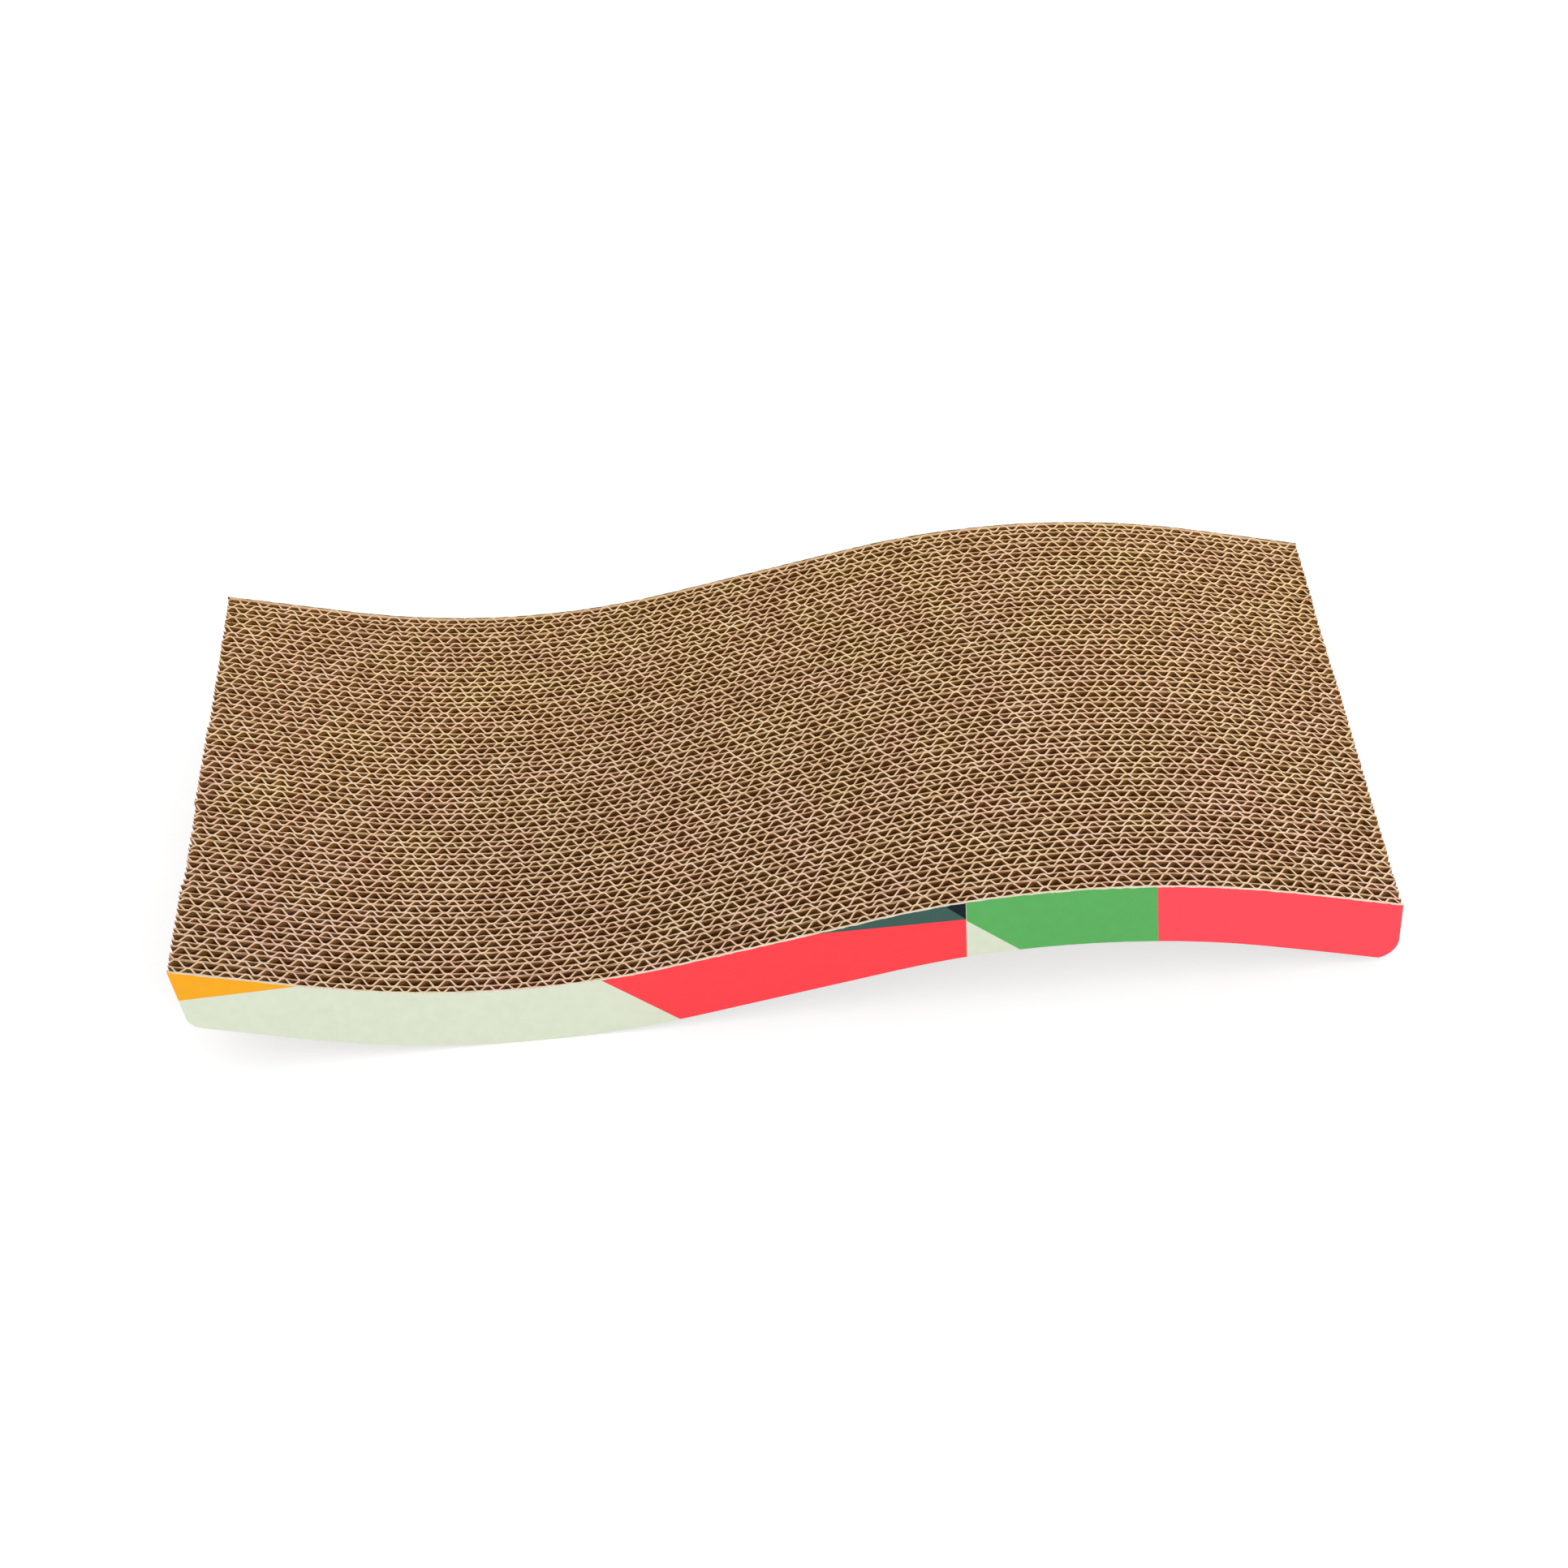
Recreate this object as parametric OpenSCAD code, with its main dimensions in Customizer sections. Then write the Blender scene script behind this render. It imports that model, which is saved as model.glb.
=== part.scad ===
/* [Slab] */
// Length between the upper edges of the two ends, along the chord of the wave
body_length = 440; // [380:5:520]
// Thickness of the slab, square to its surface
slab_thickness = 26; // [20:1:40]
// Radius of the middle of the slab in the dip and in the crest
bend_radius = 312; // [240:2:380]
// Angle that the slab turns through in each bend
bend_angle = 25.4; // [18:0.2:30]
// Straight run between the dip and the crest
middle_run = 76; // [30:2:110]
// Lean of the left end, its foot drawn in
left_end_lean = 6; // [0:0.5:9]
// Lean of the right end, its foot drawn in
right_end_lean = 0; // [0:0.5:9]
// Radius of the lower edge at both ends
end_corner_radius = 6; // [3:0.5:9]

/* [Board] */
// Number of board strips glued side by side
strip_count = 34; // [4:1:40]
// Height of the tall flutes between their liners
tall_flute_height = 3.6; // [3:0.1:5]
// Pitch of the tall flutes on the real board
tall_flute_pitch = 7.9; // [7:0.1:9]
// Height of the low flutes between their liners
low_flute_height = 2.5; // [1.8:0.1:3]
// Pitch of the low flutes on the real board
low_flute_pitch = 6.5; // [5.5:0.1:7]
// How many times longer the waves are drawn here than on the real board
wave_coarseness = 1.7; // [1:0.05:3]
// Thickness of each flat liner
liner_thickness = 0.2; // [0.15:0.05:0.4]
// Thickness of the fluted paper
fluting_thickness = 0.22; // [0.16:0.02:0.4]
// Film of glue between the tips of a wave and its liner
glue_film = 0.03; // [0.02:0.01:0.06]

/* [Printed sides] */
// Thickness of the printed sheet glued to the front and to the back
printed_sheet_thickness = 0.3; // [0.2:0.05:1]

/* [Hidden] */
function strip_name(k) = str("board_strip_", k < 10 ? "0" : "", k);

// Share of a wave that each strip's low and tall flutes lie behind the strip in front
low_wave_shift_share = 0.37;
tall_wave_shift_share = 0.59;
// Circles of the bends cross the straight runs by this much, where they would only touch
bend_overrun = 0.001;
cut_overrun = 1;
bend_facets = 180;
corner_facets = 48;

strip_thickness = 3 * liner_thickness + low_flute_height + tall_flute_height;
block_width = strip_count * strip_thickness + 2 * printed_sheet_thickness;
half_turn = bend_angle / 2;
half_thickness = slab_thickness / 2;

function along(a) = [cos(a), sin(a)];
function square_to(a) = [-sin(a), cos(a)];
function meet(p, a, q, b) =
  let(d = along(a), e = along(b), w = q - p)
  p + d * (w[0] * e[1] - w[1] * e[0]) / (d[0] * e[1] - d[1] * e[0]);

// Middle line of the right half. The dip is the crest turned half round the middle of the slab.
crest_start = middle_run / 2 * along(half_turn);
crest_centre = crest_start - bend_radius * square_to(half_turn);
crest_end = crest_centre + bend_radius * square_to(-half_turn);
dip_centre = -crest_centre;
rise = half_thickness * square_to(half_turn);
fall = half_thickness * square_to(-half_turn);

// Where the straight runs of the upper face would meet if the bends were sharp
upper_peak = meet(rise, half_turn, crest_end + fall, -half_turn);
upper_valley = meet(rise, half_turn, fall - crest_end, -half_turn);

// Corners of the two ends
upper_far = body_length / 2;
right_top = meet([upper_far, 0], 90, crest_end + fall, -half_turn);
left_top = meet([-upper_far, 0], 90, fall - crest_end, -half_turn);
right_up = 90 - right_end_lean;
left_up = 90 + left_end_lean;
right_back = 180 - half_turn;
left_back = -half_turn;
right_foot = meet(right_top, right_up, crest_end - fall, -half_turn);
left_foot = meet(left_top, left_up, -crest_end - fall, -half_turn);

// Round of a lower corner between two edges that leave it at the angles a and b
function round_reach(a, b) = end_corner_radius / tan(abs(a - b) / 2);
function round_centre(p, a, b) = p + along((a + b) / 2) * end_corner_radius / sin(abs(a - b) / 2);
right_round = round_centre(right_foot, right_up, right_back);
left_round = round_centre(left_foot, left_up, left_back);

// The slab lies on the underside of its dip and on its right lower edge
dip_under = bend_radius + half_thickness;
dip_over = bend_radius - half_thickness;
span = right_round - dip_centre;
rest_tilt = asin((dip_under - end_corner_radius) / norm(span)) - atan2(-span[1], span[0]);
function laid(p) = [p * along(rest_tilt), p * square_to(rest_tilt)];
rest_left = min(laid(left_top)[0], laid(left_round)[0] - end_corner_radius);
rest_right = max(laid(right_top)[0], laid(right_round)[0] + end_corner_radius);
rest_floor = laid(right_round)[1] - end_corner_radius;
rest_height = max(laid(left_top)[1], laid(crest_centre)[1] + dip_under) - rest_floor;

// The wedge in which a bend turns, from its centre to half a slab past the radius
module bend_wedge(centre, a, radius) {
  reach = radius + half_thickness;
  polygon([
    centre,
    centre + along(a - half_turn) * reach,
    centre + along(a) * reach / cos(half_turn),
    centre + along(a + half_turn) * reach
  ]);
}

// Everything below a face whose dip has one radius and whose crest another
module below(valley, dip_radius, peak, crest_radius, depth) {
  left = valley - along(-half_turn) * body_length;
  right = peak + along(-half_turn) * body_length;
  difference() {
    union() {
      polygon([[left[0], -depth], [right[0], -depth], right, peak, valley, left]);
      bend_wedge(dip_centre, -90, dip_radius);
    }
    translate(dip_centre) circle(r = dip_radius + bend_overrun, $fn = bend_facets);
    difference() {
      bend_wedge(crest_centre, 90, crest_radius);
      translate(crest_centre) circle(r = crest_radius + bend_overrun, $fn = bend_facets);
    }
  }
}

// What a rounded lower corner leaves out
module corner_waste(p, a, b, centre) {
  out = end_corner_radius;
  side_a = a < b ? -out : out;
  difference() {
    polygon([
      centre,
      p + along(a) * round_reach(a, b),
      p + along(a) * round_reach(a, b) + square_to(a) * side_a,
      p - along((a + b) / 2) * 2 * out,
      p + along(b) * round_reach(a, b) - square_to(b) * side_a,
      p + along(b) * round_reach(a, b)
    ]);
    translate(centre) circle(r = end_corner_radius + bend_overrun, $fn = corner_facets);
  }
}

module side_outline() {
  translate([-(rest_left + rest_right) / 2, -rest_floor]) rotate(-rest_tilt) difference() {
    intersection() {
      below(upper_valley, dip_over, upper_peak, dip_under, body_length);
      polygon([
        left_top + along(left_up) * slab_thickness,
        left_foot - along(left_up) * slab_thickness,
        right_foot - along(right_up) * slab_thickness,
        right_top + along(right_up) * slab_thickness
      ]);
    }
    below(-upper_peak, dip_under, -upper_valley, dip_over, 2 * body_length);
    corner_waste(right_foot, right_up, right_back, right_round);
    corner_waste(left_foot, left_up, left_back, left_round);
  }
}

// A sheet with the outline of the side, its front face at y
module sheet(y, thickness) {
  translate([0, y + thickness, 0]) rotate([90, 0, 0]) linear_extrude(thickness) side_outline();
}

// A fluted paper seen along its flutes, glued between liners that lie height apart
module wave(pitch, height, start_share) {
  half_wave = pitch * wave_coarseness / 2;
  low = glue_film;
  high = height - glue_film;
  slant = fluting_thickness * norm([half_wave, high - low]) / half_wave;
  count = 2 * ceil(body_length / half_wave / 2) + 4;
  first = -body_length / 2 - 2 * half_wave * (1 + start_share);
  front = [for (i = [0:count]) [first + i * half_wave, i % 2 == 0 ? low : high - slant]];
  back = [for (i = [count:-1:0]) [first + i * half_wave, i % 2 == 0 ? low + slant : high]];
  polygon(concat(front, back));
}

module fluted_paper(y, pitch, height, start_share) {
  intersection() {
    sheet(y, height);
    translate([0, y, -cut_overrun]) linear_extrude(rest_height + 2 * cut_overrun) wave(pitch, height, start_share);
  }
}

// One strip of double-wall board: liner, low flutes, liner, tall flutes, liner
module board_strip(k) {
  front = -block_width / 2 + printed_sheet_thickness + (k - 1) * strip_thickness;
  low_front = front + liner_thickness;
  tall_front = low_front + low_flute_height + liner_thickness;
  color("burlywood") {
    sheet(front, liner_thickness);
    fluted_paper(low_front, low_flute_pitch, low_flute_height, k * low_wave_shift_share % 1);
    sheet(low_front + low_flute_height, liner_thickness);
    fluted_paper(tall_front, tall_flute_pitch, tall_flute_height, k * tall_wave_shift_share % 1);
    sheet(tall_front + tall_flute_height, liner_thickness);
  }
}

module front_printed_side() {
  color("tomato") sheet(-block_width / 2, printed_sheet_thickness);
}

module back_printed_side() {
  color("tomato") sheet(block_width / 2 - printed_sheet_thickness, printed_sheet_thickness);
}

front_printed_side();
back_printed_side();
for (k = [1:strip_count]) board_strip(k);
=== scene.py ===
"""A wavy cat scratcher of corrugated board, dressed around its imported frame.

All sizes are in metres.
"""

import math

import bmesh
import bpy
import numpy as np
from mathutils import Matrix, Vector


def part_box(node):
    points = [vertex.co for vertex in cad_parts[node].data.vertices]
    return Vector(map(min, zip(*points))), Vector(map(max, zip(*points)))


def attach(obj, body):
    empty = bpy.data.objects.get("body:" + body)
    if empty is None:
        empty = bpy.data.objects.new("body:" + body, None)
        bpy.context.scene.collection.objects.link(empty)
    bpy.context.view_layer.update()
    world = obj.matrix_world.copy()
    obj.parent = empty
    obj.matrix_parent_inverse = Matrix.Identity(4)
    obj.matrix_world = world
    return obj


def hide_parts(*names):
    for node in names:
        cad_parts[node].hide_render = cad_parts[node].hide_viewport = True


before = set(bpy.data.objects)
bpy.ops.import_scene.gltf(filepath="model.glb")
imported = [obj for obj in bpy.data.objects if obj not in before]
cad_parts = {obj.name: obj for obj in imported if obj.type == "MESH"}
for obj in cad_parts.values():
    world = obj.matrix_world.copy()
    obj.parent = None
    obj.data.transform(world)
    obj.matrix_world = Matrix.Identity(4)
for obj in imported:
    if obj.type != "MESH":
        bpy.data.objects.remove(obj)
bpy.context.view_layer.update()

MM = 0.001
SEED = 2279

# Board: a strip is a liner, low flutes, a liner, tall flutes and a liner, from front to back
STRIP_COUNT = 34
LINER = 0.2 * MM
LOW_HEIGHT = 2.5 * MM
LOW_PITCH = 6.5 * MM
TALL_HEIGHT = 3.6 * MM
TALL_PITCH = 7.9 * MM
STRIP = 3 * LINER + LOW_HEIGHT + TALL_HEIGHT
# How many times steeper than a zigzag's the flanks of a wave are
LOW_STEEPNESS = 1.7
TALL_STEEPNESS = 1.68
# How sharply the flat tips of a wave turn into its flanks
TIP_SHARPNESS = 8

# Thicknesses that the papers are drawn with. Glue and crushed fibres widen their cut edges.
FLUTED_PAPER = 0.6 * MM
TIP_PAPER = 0.85 * MM
LINER_PAPER = 0.44 * MM
MIDDLE_LINER_PAPER = 0.6 * MM
LINER_PAPER_SPREAD = 0.12 * MM
# The last liner is crushed against the back sheet and shows a wider edge
LAST_LINER_PAPER = 1.5 * MM
# The higher this power, the shorter the thickened tips of a wave
TIP_POWER = 6
# How far the crushed tips of a wave reach past the middle of the liner
TIP_OVERREACH = 0.02 * MM
# How far the edges of the liners lie below those of the fluted papers
LINER_SINK = 0.04 * MM
POINTS_PER_WAVE = 16
LINER_STEP = 1.6 * MM

# Unevenness of real board: the usual size of each fault, and the steps at which it changes
PITCH_SPREAD_SHARE = 0.012
LINER_SWAY = 0.12 * MM
LINER_SWAY_STEP = 3.2 * MM
WAVE_SWAY_ANGLE = 0.16
WAVE_SWAY_SHARE = 0.04
WAVE_SWAY_STEP = 5 * MM
CUT_ROUGHNESS = 0.07 * MM
# The most that a strip stands lower than the outline, and that its ends miss those of its block
STRIP_DROP = 0.2 * MM
END_SPREAD = 0.1 * MM

# Strips come glued in blocks, whose ends lie a little apart
STRIPS_IN_BLOCK = 7
LEFT_SET_BACKS = (0.1 * MM, 0.9 * MM, 0.3 * MM, 0.8 * MM, 0.6 * MM)
RIGHT_SET_BACKS = (0.3 * MM, 0.3 * MM, 0.2 * MM, 0.4 * MM, 0.2 * MM)
# Length at each end over which the outline is squeezed to fit a paper's set-back end
END_REACH = 30 * MM
KNOT_REACH = END_REACH / 3

# The lower edge of the right end, worn round, and the foot of the left end, drawn in
WORN_RADIUS = 9 * MM
WORN_POINTS = 9
LEFT_FOOT_DRAW = 1.2 * MM
BACK_CORNER_RADIUS = 2.6 * MM

# The block is a little twisted, which lifts its front right corner off the floor
TWIST_START_X = 90 * MM
TWIST_END_X = 205 * MM
TWIST_RISE = 1.7 * MM

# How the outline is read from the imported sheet: the most that a face of its rim points to the
# side, the least that an upper one points up, and the digits to which corners are the same
RIM_LEAN = 0.5
FACING_UP = 0.3
PLACE_DIGITS = 7

# Printed sheets
SHEET_STEP = 1.5 * MM
SHEET_TIP = 0.05 * MM
SHEET_ROUGHNESS = 0.1 * MM
BARE_EDGE = 0.55 * MM
BARE_EDGE_SHARES = (0.75, 1.25)
BARE_SLOPE = 0.1 * MM
CUT_TOLERANCE = 1e-7
# The least share of its normal with which a printed face points to the front or the back
FACING_ASIDE = 0.999

# Borders of the print on the front, as places along the slab and heights over the floor
ORANGE_LINE = ((-216.8 * MM, 35.8 * MM), (-177 * MM, 37.2 * MM))
RED_LINE = ((-67 * MM, 25.9 * MM), (-41 * MM, 3.5 * MM))
TEAL_LINE = ((1.3 * MM, 38.8 * MM), (61 * MM, 39 * MM))
NAVY_LINE = ((58.5 * MM, 44.6 * MM), (64.2 * MM, 39 * MM))
GREEN_LINE = ((64.1 * MM, 38.5 * MM), (82 * MM, 22.8 * MM))
SEAM_LINE = ((64.5 * MM, 46 * MM), (63.6 * MM, 21 * MM))
ROSE_LINE = ((132.2 * MM, 44 * MM), (132.2 * MM, 18 * MM))
SEAM_WIDTH = 0.12 * MM
# The dark fields begin right of this place
PRINT_MIDDLE = 0

# Tones over the board: it yellows and lightens a little from front to back, and its left end is
# painted a little darker, a painted shade of light that falls off from right to left
AGEING_Y = (-114 * MM, 114 * MM)
PAINTED_SHADE_REACH_X = (-220 * MM, 220 * MM)
WANDER = 0.3
FRESH = (0.915, 0.875, 0.855, 1.0)
YELLOWED = (1.0, 0.955, 0.76, 1.0)
# Painted shade: the left end is darkened to the first of these tones, and from a little left of
# the middle onwards the board keeps its colour
PAINTED_SHADE_LEFT = (0.88, 0.87, 0.89, 1.0)
UNSHADED_RIGHT = (1.0, 1.0, 1.0, 1.0)
# Patches that lean a little to olive or to rose
OLIVE = (0.98, 1.0, 0.9, 1.0)
ROSY = (1.0, 0.94, 1.0, 1.0)

# Noises of the materials: features per metre, levels of detail and roughness of the detail
WANDER_NOISE = (14, 2, 0.5)
PATCH_NOISE = (40, 3, 0.6)
CLOUD_NOISE = (90, 3, 0.6)
FIBRE_NOISE = (1500, 3, 0.65)
FLECK_NOISE = (2600, 1, 0.5)
MOTTLE_NOISE = (260, 4, 0.6)
SHEET_WAVE_NOISE = (500, 4, 0.6)
GLOSS_NOISE = (700, 3, 0.5)
SPECK_NOISE = (1900, 2, 0.5)
FLOOR_NOISE = (30, 2, 0.5)
EVEN = (1.0, 1.0, 1.0)
UPRIGHT_FIBRES = (1.0, 1.0, 0.06)
UPRIGHT_WAVES = (1.0, 1.0, 0.35)

# Where the colours of each ramp lie on its value
YELLOW_STOPS = (0, 1)
PAINTED_SHADE_STOPS = (0, 0.45)
PATCH_STOPS = (0.36, 0.62)
CLOUD_STOPS = (0.3, 0.5, 0.72)
FIBRE_STOPS = (0.25, 0.75)
FLECK_STOPS = (0.66, 0.74)
MOTTLE_STOPS = (0.3, 0.7)
SPECK_STOPS = (0.7, 0.8)
FLOOR_STOPS = (0.3, 0.7)

# Surfaces: how much darker their details are, roughness, and strength and depth of their relief
FIBRE_SHADE = 0.74
PAPER_ROUGHNESS = (0.82, 0.98)
PAPER_SPECULAR = 0.25
PAPER_RELIEF = (0.35, 0.08 * MM)
MOTTLE_SHADE = 0.95
SPECK_SHADE = 0.8
SPECK_SHARE = 0.4
INK_ROUGHNESS = (0.42, 0.6)
INK_SPECULAR = 0.1
INK_RELIEF = (0.12, 0.05 * MM)
SHARP_ANGLE = 50

# Floor, a square whose sides lie this far from the middle
FLOOR_REACH = 5
FLOOR_TONES = (0.48, 0.5)
FLOOR_GLOW = 0.61

# Light
SKY = 1.01
SUN = 1.49
SUN_SPREAD = 14
SUN_HEIGHT = 18
SUN_RIGHT = 42

# Camera, fitted to the outline in the photograph
CAMERA_PLACE = (31.1 * MM, -950.3 * MM, 785.3 * MM)
CAMERA_DOWN = 38.981
CAMERA_LEFT = 1.751
CAMERA_ROLL = -6.581
CAMERA_NEAR = 10 * MM
LENS_MM = 72.47
SENSOR_MM = 36

random = np.random.default_rng(SEED)


# Colours

def srgb(red, green, blue):
    """A colour as it shows on screen, turned into the linear values that a shader takes."""
    def linear(value):
        share = value / 255
        return share / 12.92 if share <= 0.04045 else ((share + 0.055) / 1.055) ** 2.4
    return (linear(red), linear(green), linear(blue), 1.0)


def grey(share):
    return (share, share, share, 1.0)


def shade_of(colour, share):
    return tuple(value * share for value in colour[:3]) + (1.0,)


# Nodes of the materials

def new_material(name):
    material = bpy.data.materials.new(name)
    material.use_nodes = True
    tree = material.node_tree
    return material, tree, tree.nodes["Principled BSDF"]


def noise(tree, kind, stretch=EVEN):
    """Noise that is fixed to the object."""
    place = tree.nodes.new("ShaderNodeTexCoord")
    mapping = tree.nodes.new("ShaderNodeMapping")
    mapping.inputs["Scale"].default_value = stretch
    texture = tree.nodes.new("ShaderNodeTexNoise")
    for socket, value in zip(("Scale", "Detail", "Roughness"), kind):
        texture.inputs[socket].default_value = value
    tree.links.new(place.outputs["Object"], mapping.inputs["Vector"])
    tree.links.new(mapping.outputs["Vector"], texture.inputs["Vector"])
    return texture.outputs["Fac"]


def ramp(tree, source, stops, colours):
    """Colours along a value, each at its stop."""
    node = tree.nodes.new("ShaderNodeValToRGB")
    elements = node.color_ramp.elements
    while len(elements) < len(stops):
        elements.new(0.5)
    for element, position, colour in zip(elements, stops, colours):
        element.position = position
        element.color = colour
    tree.links.new(source, node.inputs["Fac"])
    return node.outputs["Color"]


def mixed(tree, kind, share, first, second):
    """Two colour sockets or colours mixed by a share, which may be a socket too."""
    node = tree.nodes.new("ShaderNodeMix")
    node.data_type = "RGBA"
    node.blend_type = kind
    sockets = [s for s in node.inputs if s.type == "RGBA"]
    factor = next(s for s in node.inputs if s.name == "Factor" and s.type == "VALUE")
    for socket, value in ((factor, share), (sockets[0], first), (sockets[1], second)):
        if isinstance(value, (int, float, tuple)):
            socket.default_value = value
        else:
            tree.links.new(value, socket)
    return next(s for s in node.outputs if s.type == "RGBA")


def spread(tree, source, low, high):
    """A value from 0 to 1 spread between two others."""
    node = tree.nodes.new("ShaderNodeMapRange")
    node.inputs["To Min"].default_value = low
    node.inputs["To Max"].default_value = high
    tree.links.new(source, node.inputs["Value"])
    return node.outputs["Result"]


def joined(tree, operation, first, second):
    """Two values joined by an operation. The second may be a plain number."""
    node = tree.nodes.new("ShaderNodeMath")
    node.operation = operation
    tree.links.new(first, node.inputs[0])
    if isinstance(second, (int, float)):
        node.inputs[1].default_value = second
    else:
        tree.links.new(second, node.inputs[1])
    return node.outputs["Value"]


def raise_surface(tree, shader, height, strength, distance):
    node = tree.nodes.new("ShaderNodeBump")
    node.inputs["Strength"].default_value = strength
    node.inputs["Distance"].default_value = distance
    tree.links.new(height, node.inputs["Height"])
    tree.links.new(node.outputs["Normal"], shader.inputs["Normal"])


def across_board(tree, axis, reach):
    """A value that grows from 0 to 1 along an axis of the board, with a wandering course."""
    place = tree.nodes.new("ShaderNodeTexCoord")
    axes = tree.nodes.new("ShaderNodeSeparateXYZ")
    along = tree.nodes.new("ShaderNodeMapRange")
    for socket, value in zip(("From Min", "From Max"), reach):
        along.inputs[socket].default_value = value
    tree.links.new(place.outputs["Object"], axes.inputs[0])
    tree.links.new(axes.outputs[axis], along.inputs["Value"])
    wander = spread(tree, noise(tree, WANDER_NOISE), -WANDER, WANDER)
    return joined(tree, "ADD", along.outputs["Result"], wander)


def seen_through(tree, *kinds):
    """1 for the kinds of rays that see the background, and 0 for those that light the object."""
    rays = tree.nodes.new("ShaderNodeLightPath")
    seen = rays.outputs[kinds[0]]
    for kind in kinds[1:]:
        seen = joined(tree, "MAXIMUM", seen, rays.outputs[kind])
    return seen


# Materials

def aged_and_shaded(tree, colour):
    """The colour of a paper under the tones that change over the board and in patches, and under
    painted shade that darkens the left end.
    """
    tones = (
        ramp(tree, across_board(tree, "Y", AGEING_Y), YELLOW_STOPS, (FRESH, YELLOWED)),
        # Painted shade, darker towards the left end, as light that falls off from right to left
        ramp(tree, across_board(tree, "X", PAINTED_SHADE_REACH_X), PAINTED_SHADE_STOPS, (PAINTED_SHADE_LEFT, UNSHADED_RIGHT)),
        ramp(tree, noise(tree, PATCH_NOISE), PATCH_STOPS, (OLIVE, ROSY)),
    )
    for tone in tones:
        colour = mixed(tree, "MULTIPLY", 1.0, colour, tone)
    return colour


def kraft(name, dark, middle, light, fleck, fibre_stretch=EVEN):
    """Brown paper: clouds about a centimetre wide, fine fibres and scattered flecks."""
    material, tree, shader = new_material(name)
    clouds = ramp(tree, noise(tree, CLOUD_NOISE), CLOUD_STOPS, (dark, middle, light))
    fibres = noise(tree, FIBRE_NOISE, fibre_stretch)
    tone = ramp(tree, fibres, FIBRE_STOPS, (grey(FIBRE_SHADE), grey(1)))
    paper = aged_and_shaded(tree, mixed(tree, "MULTIPLY", 1.0, clouds, tone))
    flecks = ramp(tree, noise(tree, FLECK_NOISE), FLECK_STOPS, (grey(0), grey(1)))
    tree.links.new(mixed(tree, "MIX", flecks, paper, fleck), shader.inputs["Base Color"])
    tree.links.new(spread(tree, fibres, *PAPER_ROUGHNESS), shader.inputs["Roughness"])
    shader.inputs["Specular IOR Level"].default_value = PAPER_SPECULAR
    raise_surface(tree, shader, fibres, *PAPER_RELIEF)
    return material


def ink(name, colour):
    """Print on coated paper: a faint mottle, some gloss and slight waves of the sheet."""
    material, tree, shader = new_material("ink_" + name)
    mottle = noise(tree, MOTTLE_NOISE)
    toned = ramp(tree, mottle, MOTTLE_STOPS, (shade_of(colour, MOTTLE_SHADE), colour))
    specks = ramp(tree, noise(tree, SPECK_NOISE), SPECK_STOPS, (grey(0), grey(SPECK_SHARE)))
    speckled = mixed(tree, "MIX", specks, toned, shade_of(colour, SPECK_SHADE))
    gloss = spread(tree, noise(tree, GLOSS_NOISE), *INK_ROUGHNESS)
    tree.links.new(speckled, shader.inputs["Base Color"])
    tree.links.new(gloss, shader.inputs["Roughness"])
    shader.inputs["Specular IOR Level"].default_value = INK_SPECULAR
    raise_surface(tree, shader, noise(tree, SHEET_WAVE_NOISE, UPRIGHT_WAVES), *INK_RELIEF)
    return material


# The walls and the cut edges are the same paper. The walls get a darker brown than the cut edges:
# the paper's own brown, made darker still as painted shade of the cells between the papers
SHADED_KRAFT_WALL = kraft(
    "kraft_wall_painted_shade", srgb(121, 77, 30), srgb(138, 93, 41), srgb(155, 109, 56),
    srgb(96, 56, 20), UPRIGHT_FIBRES,
)
KRAFT_CUT = kraft(
    "kraft_cut", srgb(240, 204, 170), srgb(253, 222, 192), srgb(255, 236, 212),
    srgb(214, 176, 140),
)
LINER_CUT = kraft(
    "liner_cut", srgb(204, 170, 136), srgb(220, 186, 152), srgb(234, 202, 168),
    srgb(176, 138, 104),
)
PAPER_CORE = kraft(
    "paper_core", srgb(234, 228, 202), srgb(242, 237, 216), srgb(248, 244, 228),
    srgb(224, 214, 186),
)
GREY_CORE = kraft(
    "grey_core", srgb(84, 86, 66), srgb(100, 101, 80), srgb(116, 116, 94),
    srgb(70, 70, 54),
)
INKS = {
    "orange": ink("orange", srgb(242, 167, 35)),
    "mint": ink("mint", srgb(214, 221, 199)),
    "red": ink("red", srgb(247, 68, 75)),
    "teal": ink("teal", srgb(60, 90, 83)),
    "navy": ink("navy", srgb(12, 26, 32)),
    "green": ink("green", srgb(91, 172, 93)),
    "seam": ink("seam", srgb(232, 228, 210)),
    "rose": ink("rose", srgb(247, 78, 90)),
}


# The outline of the slab's side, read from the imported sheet

def outline_line(upper):
    """The upper or the lower edge of the slab's side, as places and heights from left to right."""
    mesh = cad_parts["front_printed_side"].data
    points = set()
    for face in mesh.polygons:
        rim = abs(face.normal.y) < RIM_LEAN
        if rim and (face.normal.z > FACING_UP) == upper:
            corners = (mesh.vertices[i].co for i in face.vertices)
            points.update((round(c.x, PLACE_DIGITS), round(c.z, PLACE_DIGITS)) for c in corners)
    places, heights = zip(*sorted(points))
    return np.array(places), np.array(heights)


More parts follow.
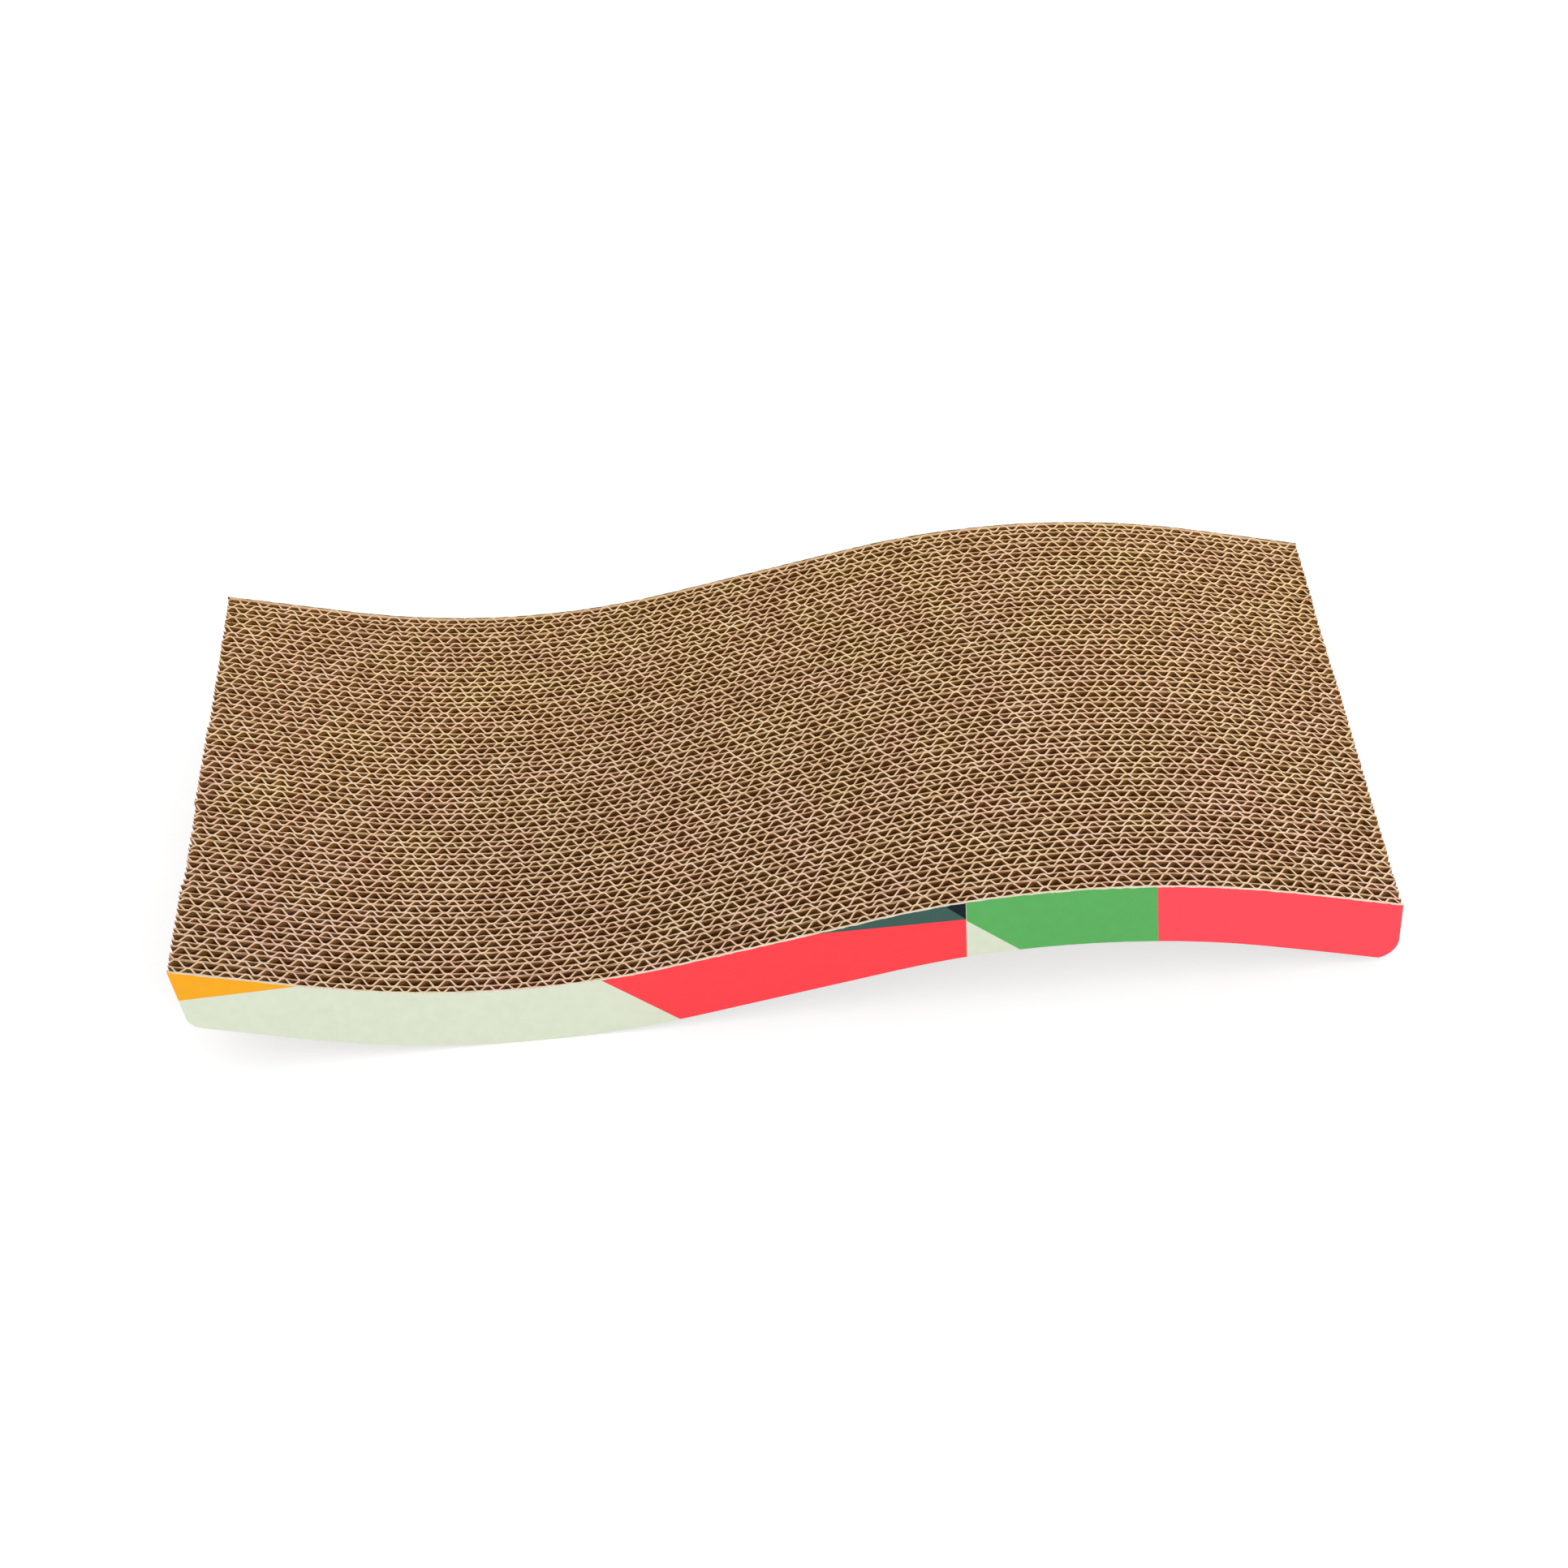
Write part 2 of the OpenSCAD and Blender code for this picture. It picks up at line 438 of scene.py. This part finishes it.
def with_worn_corner(x, z):
    """The lower edge with its right end rounded off further, as the resting corner is."""
    foot = x[-2]
    turns = np.linspace(0, math.pi / 2, WORN_POINTS)
    at = np.unique(np.concatenate([x, foot - WORN_RADIUS * (1 - np.sin(turns))]))
    into = np.clip(at - (foot - WORN_RADIUS), 0, WORN_RADIUS)
    worn = WORN_RADIUS - np.sqrt(WORN_RADIUS ** 2 - into ** 2)
    beyond = np.interp(at, (foot, x[-1]), (WORN_RADIUS, z[-1]))
    return at, np.where(at > foot, beyond, np.maximum(np.interp(at, x, z), worn))


def with_drawn_foot(x, z):
    """The lower edge with the foot of its left end drawn in further below the upper corner."""
    foot = x < x[0] + WORN_RADIUS
    depth = np.clip((z[0] - z) / (z[0] - z[foot].min()), 0, 1)
    fade = np.clip((x[0] + END_REACH - x) / (END_REACH - WORN_RADIUS), 0, 1)
    return x + LEFT_FOOT_DRAW * depth * fade, z


UPPER_X, UPPER_Z = outline_line(True)
LOWER_X, LOWER_Z = with_worn_corner(*with_drawn_foot(*outline_line(False)))
LEFT, RIGHT = UPPER_X[0], UPPER_X[-1]
LENGTH = RIGHT - LEFT
END_KNOTS = [x for x in LOWER_X if min(x - LEFT, RIGHT - x) < KNOT_REACH]
FRONT, BOARD_FRONT = (corner[1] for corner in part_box("front_printed_side"))
BOARD_BACK, BACK = (corner[1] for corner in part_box("back_printed_side"))


def top_at(x):
    return np.interp(x, UPPER_X, UPPER_Z)


def bottom_at(x):
    return np.interp(x, LOWER_X, LOWER_Z)


def corner_set_back(y):
    """How far the rounded back corners draw the ends in at a distance y from the middle."""
    into = np.maximum(0, y - (BACK - BACK_CORNER_RADIUS))
    return BACK_CORNER_RADIUS - np.sqrt(np.maximum(0, BACK_CORNER_RADIUS ** 2 - into ** 2))


def twist_at(x, y):
    """How far the twist of the block lifts a place."""
    along = np.clip((x - TWIST_START_X) / (TWIST_END_X - TWIST_START_X), 0, 1)
    return TWIST_RISE * along ** 2 * (3 - 2 * along) * (BACK - y) / (BACK - FRONT)


def squeezed_ends(start, end):
    """Places along a paper from start to end, and the places on the outline that they take."""
    inner = (start + END_REACH, end - END_REACH)
    return (start, *inner, end), (LEFT, *inner, RIGHT)


def placed(name, data):
    """An object of the scene."""
    thing = bpy.data.objects.new(name, data)
    bpy.context.scene.collection.objects.link(thing)
    return thing


# Papers of the board

class Papers:
    """Standing papers gathered into one mesh, each a path in plan between the slab's two faces."""

    WALL, FLUTE_CUT, LINER_CUT = 0, 1, 2

    def __init__(self):
        self.corners, self.faces, self.kinds, self.count = [], [], [], 0

    def add(self, x, y, thickness, cut, start, end, drop):
        """A paper along the points x, y, cut to the outline that runs from start to end."""
        slope_x, slope_y = np.gradient(x), np.gradient(y)
        length = np.hypot(slope_x, slope_y)
        aside_x, aside_y = -slope_y / length * thickness / 2, slope_x / length * thickness / 2
        rows = []
        for side, face in ((-1, 0), (-1, 1), (1, 1), (1, 0)):
            px = np.clip(x + side * aside_x, start, end)
            py = np.clip(y + side * aside_y, BOARD_FRONT, BOARD_BACK)
            on = np.interp(px, *squeezed_ends(start, end))
            fray = np.abs(random.normal(0, CUT_ROUGHNESS, len(x)))
            upper, lower = top_at(on), bottom_at(on)
            middle = (upper + lower) / 2
            if face:
                pz = np.maximum(upper - drop - fray, middle)
            else:
                pz = np.minimum(lower + fray, middle)
            rows.append(np.stack([px, py, pz + twist_at(px, py)], 1))
        self.corners.append(np.stack(rows, 1).reshape(-1, 3))
        self.skin(len(x), cut)

    def skin(self, stations, cut):
        """Faces around the stations added last, four corners each: the walls, cuts and ends."""
        base = self.count
        for here in range(base, base + 4 * (stations - 1), 4):
            there = here + 4
            for a, kind in ((0, self.WALL), (1, cut), (2, self.WALL), (3, cut)):
                b = (a + 1) % 4
                self.faces.append((here + a, here + b, there + b, there + a))
                self.kinds.append(kind)
        last = base + 4 * (stations - 1)
        self.faces.append((base + 3, base + 2, base + 1, base))
        self.faces.append((last, last + 1, last + 2, last + 3))
        self.kinds += [cut, cut]
        self.count += 4 * stations

    def made(self, name, materials):
        mesh = bpy.data.meshes.new(name)
        mesh.from_pydata(np.concatenate(self.corners).tolist(), [], self.faces)
        for material in materials:
            mesh.materials.append(material)
        mesh.polygons.foreach_set("material_index", self.kinds)
        mesh.polygons.foreach_set("use_smooth", [True] * len(self.faces))
        mesh.set_sharp_from_angle(angle=math.radians(SHARP_ANGLE))
        mesh.update()
        return placed(name, mesh)


def ends_at(y, set_back):
    """Places of a paper's two ends, y from the middle of the block."""
    inset = float(corner_set_back(y))
    return LEFT + set_back[0] + inset, RIGHT - set_back[1] - inset


def with_end_knots(x, start, end):
    """Places along a paper with those added where the outline turns at the ends."""
    along_paper, on_outline = squeezed_ends(start, end)
    knots = np.interp(END_KNOTS, on_outline, along_paper)
    return np.unique(np.concatenate([x[(x > start) & (x < end)], knots]))


def swayed(x, step, amount):
    """Random values at every step along the slab, blended in between, at the places x."""
    knots = np.arange(LEFT, RIGHT + step, step)
    return np.interp(x, knots, random.normal(0, amount, len(knots)))


def add_liner(papers, y, paper, set_back, drop):
    start, end = ends_at(y, set_back)
    x = with_end_knots(np.arange(LEFT, RIGHT, LINER_STEP), start, end)
    y_line = y + swayed(x, LINER_SWAY_STEP, LINER_SWAY)
    width = paper + swayed(x, LINER_SWAY_STEP, LINER_PAPER_SPREAD)
    papers.add(x, y_line, width, papers.LINER_CUT, start, end, drop + LINER_SINK)


def add_wave(papers, y, height, pitch, steepness, set_back, drop):
    """A fluted paper in the gap of the given height whose front lies at y."""
    middle = y + height / 2
    start, end = ends_at(middle, set_back)
    turns = LENGTH / (pitch * (1 + random.normal(0, PITCH_SPREAD_SHARE)))
    angle = np.arange(0, math.ceil(turns) + 2, 1 / POINTS_PER_WAVE) * math.tau
    x = LEFT - pitch * random.uniform(0, 1) + LENGTH / turns * angle / math.tau
    inside = (x > start) & (x < end)
    x, angle = x[inside], angle[inside]
    at = with_end_knots(x, start, end)
    angle = np.interp(at, x, angle, left=angle[0], right=angle[-1])
    angle += swayed(at, WAVE_SWAY_STEP, WAVE_SWAY_ANGLE)
    crush = np.abs(swayed(at, WAVE_SWAY_STEP, WAVE_SWAY_SHARE))
    reach = ((height + LINER) / 2 + TIP_OVERREACH) * (1 - crush)
    zigzag = steepness * np.arcsin(np.sin(angle)) * 2 / math.pi
    shape = zigzag / (1 + np.abs(zigzag) ** TIP_SHARPNESS) ** (1 / TIP_SHARPNESS)
    width = FLUTED_PAPER + (TIP_PAPER - FLUTED_PAPER) * np.abs(shape) ** TIP_POWER
    papers.add(at, middle + reach * shape, width, papers.FLUTE_CUT, start, end, drop)


def make_strip(k):
    papers = Papers()
    front = BOARD_FRONT + (k - 1) * STRIP
    block = (k - 1) // STRIPS_IN_BLOCK
    ends = np.array((LEFT_SET_BACKS[block], RIGHT_SET_BACKS[block]))
    set_back = ends + random.uniform(-END_SPREAD, END_SPREAD, 2)
    drop = random.uniform(0, STRIP_DROP)
    low_front = front + LINER
    tall_front = low_front + LOW_HEIGHT + LINER
    last_paper = LAST_LINER_PAPER if k == STRIP_COUNT else LINER_PAPER
    add_liner(papers, front + LINER_PAPER / 2, LINER_PAPER, set_back, drop)
    add_wave(papers, low_front, LOW_HEIGHT, LOW_PITCH, LOW_STEEPNESS, set_back, drop)
    add_liner(papers, tall_front - LINER / 2, MIDDLE_LINER_PAPER, set_back, drop)
    add_wave(papers, tall_front, TALL_HEIGHT, TALL_PITCH, TALL_STEEPNESS, set_back, drop)
    add_liner(papers, front + STRIP - last_paper / 2, last_paper, set_back, drop)
    piece = papers.made(f"strip_{k:02}_papers", [SHADED_KRAFT_WALL, KRAFT_CUT, LINER_CUT])
    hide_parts(f"board_strip_{k:02}")
    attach(piece, "root")


# Printed sheets

def above(line, x, z):
    (x1, z1), (x2, z2) = line
    return z > z1 + (z2 - z1) * (x - x1) / (x2 - x1)


def past(line, x, z):
    """How far a place lies to the right of a line that runs down the sheet."""
    (x1, z1), (x2, z2) = line
    return x - x1 - (x2 - x1) * (z - z1) / (z2 - z1)


def ink_at(x, z):
    """Name of the ink at a place on the printed side."""
    if past(ROSE_LINE, x, z) > 0:
        return "rose"
    if abs(past(SEAM_LINE, x, z)) < SEAM_WIDTH / 2:
        return "seam"
    if past(SEAM_LINE, x, z) > 0:
        return "green" if above(GREEN_LINE, x, z) else "mint"
    if x > PRINT_MIDDLE and above(TEAL_LINE, x, z):
        return "navy" if above(NAVY_LINE, x, z) else "teal"
    if x > RED_LINE[1][0] or above(RED_LINE, x, z):
        return "red"
    return "orange" if above(ORANGE_LINE, x, z) else "mint"


def cut_along(shape, x, z, across_x, across_z):
    """An edge all through the sheet on the line through x, z that lies square to the direction."""
    bmesh.ops.bisect_plane(
        shape, geom=shape.verts[:] + shape.edges[:] + shape.faces[:], dist=CUT_TOLERANCE,
        plane_co=(x, 0, z), plane_no=(across_x, 0, across_z),
    )


def cut_borders(shape):
    """Edges on the borders of the print, so that each face has one ink."""
    for (x1, z1), (x2, z2) in (ORANGE_LINE, RED_LINE, TEAL_LINE, NAVY_LINE, GREEN_LINE, ROSE_LINE):
        cut_along(shape, x1, z1, z1 - z2, x2 - x1)
    (x1, z1), (x2, z2) = SEAM_LINE
    for side in (-SEAM_WIDTH / 2, SEAM_WIDTH / 2):
        cut_along(shape, x1 + side, z1, z1 - z2, x2 - x1)
    cut_along(shape, PRINT_MIDDLE, 0, 1, 0)


def sheet_places():
    """Places along a sheet, at steps and where the outline turns."""
    x = np.unique(np.concatenate([np.arange(LEFT, RIGHT, SHEET_STEP), END_KNOTS, UPPER_X]))
    start, end = LEFT + SHEET_TIP, RIGHT - SHEET_TIP
    return np.concatenate([[start], x[(x > start) & (x < end)], [end]])


def sheet_form(face_y, inner_y):
    """The closed form of a sheet from its printed face to its inner face, as rings of corners."""
    x = sheet_places()
    inward = math.copysign(1, inner_y - face_y)
    top, bottom = top_at(x), bottom_at(x)
    bare = np.minimum(BARE_EDGE * random.uniform(*BARE_EDGE_SHARES, len(x)), (top - bottom) / 3)
    top = top - np.minimum(np.abs(random.normal(0, SHEET_ROUGHNESS, len(x))), bare)
    ring = (
        (face_y, bottom),
        (face_y, top - bare),
        (face_y + inward * BARE_SLOPE, top),
        (inner_y, top),
        (inner_y, bottom),
    )
    lines = [np.stack([x, np.full(len(x), y), z + twist_at(x, y)], 1) for y, z in ring]
    shape = bmesh.new()
    rows = [[shape.verts.new(corner) for corner in row] for row in np.stack(lines, 1)]
    for here, there in zip(rows, rows[1:]):
        for a in range(len(ring)):
            b = (a + 1) % len(ring)
            shape.faces.new((here[a], here[b], there[b], there[a]))
    shape.faces.new(rows[0][::-1])
    shape.faces.new(rows[-1])
    return shape


def make_sheet(node, name, face_y, inner_y, core):
    """A printed sheet with its cut edges left bare, in the colour of its core."""
    shape = sheet_form(face_y, inner_y)
    cut_borders(shape)
    bmesh.ops.recalc_face_normals(shape, faces=shape.faces[:])
    names = list(INKS)
    for face in shape.faces:
        middle = face.calc_center_median()
        outer = abs(middle.y - face_y) < abs(middle.y - inner_y)
        printed = abs(face.normal.y) > FACING_ASIDE and outer
        face.material_index = 1 + names.index(ink_at(middle.x, middle.z)) if printed else 0
    mesh = bpy.data.meshes.new(name)
    shape.to_mesh(mesh)
    shape.free()
    for material in [core] + [INKS[n] for n in names]:
        mesh.materials.append(material)
    piece = placed(name, mesh)
    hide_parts(node)
    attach(piece, "root")


# Floor, light and camera

def make_floor():
    mesh = bpy.data.meshes.new("floor")
    signs = ((-1, -1), (1, -1), (1, 1), (-1, 1))
    corners = [(x * FLOOR_REACH, y * FLOOR_REACH, 0) for x, y in signs]
    mesh.from_pydata(corners, [], [(0, 1, 2, 3)])
    material, tree, shader = new_material("floor_paint")
    tones = [grey(share) for share in FLOOR_TONES]
    tone = ramp(tree, noise(tree, FLOOR_NOISE), FLOOR_STOPS, tones)
    tree.links.new(tone, shader.inputs["Base Color"])
    shader.inputs["Roughness"].default_value = 1.0
    shader.inputs["Specular IOR Level"].default_value = 0.0
    seen = seen_through(tree, "Is Camera Ray", "Is Glossy Ray")
    glow = joined(tree, "MULTIPLY", seen, FLOOR_GLOW)
    tree.links.new(glow, shader.inputs["Emission Strength"])
    shader.inputs["Emission Color"].default_value = grey(1)
    mesh.materials.append(material)
    floor = placed("floor", mesh)


def make_light():
    world = bpy.data.worlds.new("studio")
    bpy.context.scene.world = world
    world.use_nodes = True
    tree = world.node_tree
    sky = tree.nodes["Background"]
    sky.inputs["Color"].default_value = grey(1)
    seen = seen_through(tree, "Is Camera Ray", "Is Glossy Ray", "Is Transmission Ray")
    tree.links.new(spread(tree, seen, SKY, 1.0), sky.inputs["Strength"])
    lamp = bpy.data.lights.new("key", "SUN")
    lamp.energy = SUN
    lamp.angle = math.radians(SUN_SPREAD)
    key = placed("key", lamp)
    key.matrix_world = (
        Matrix.Rotation(math.radians(SUN_RIGHT), 4, "Z")
        @ Matrix.Rotation(math.radians(90 - SUN_HEIGHT), 4, "X")
    )


def make_camera():
    lens = bpy.data.cameras.new("camera")
    lens.lens = LENS_MM
    lens.sensor_width = SENSOR_MM
    lens.clip_start = CAMERA_NEAR
    camera = placed("camera", lens)
    camera.matrix_world = (
        Matrix.Translation(Vector(CAMERA_PLACE))
        @ Matrix.Rotation(math.radians(CAMERA_LEFT), 4, "Z")
        @ Matrix.Rotation(math.radians(90 - CAMERA_DOWN), 4, "X")
        @ Matrix.Rotation(math.radians(CAMERA_ROLL), 4, "Z")
    )
    bpy.context.scene.camera = camera


make_camera()
make_light()
make_floor()
make_sheet("front_printed_side", "front_print", FRONT, BOARD_FRONT, PAPER_CORE)
make_sheet("back_printed_side", "back_print", BACK, BOARD_BACK, GREY_CORE)
for strip_number in range(1, STRIP_COUNT + 1):
    make_strip(strip_number)
bpy.context.scene.view_settings.view_transform = "Standard"
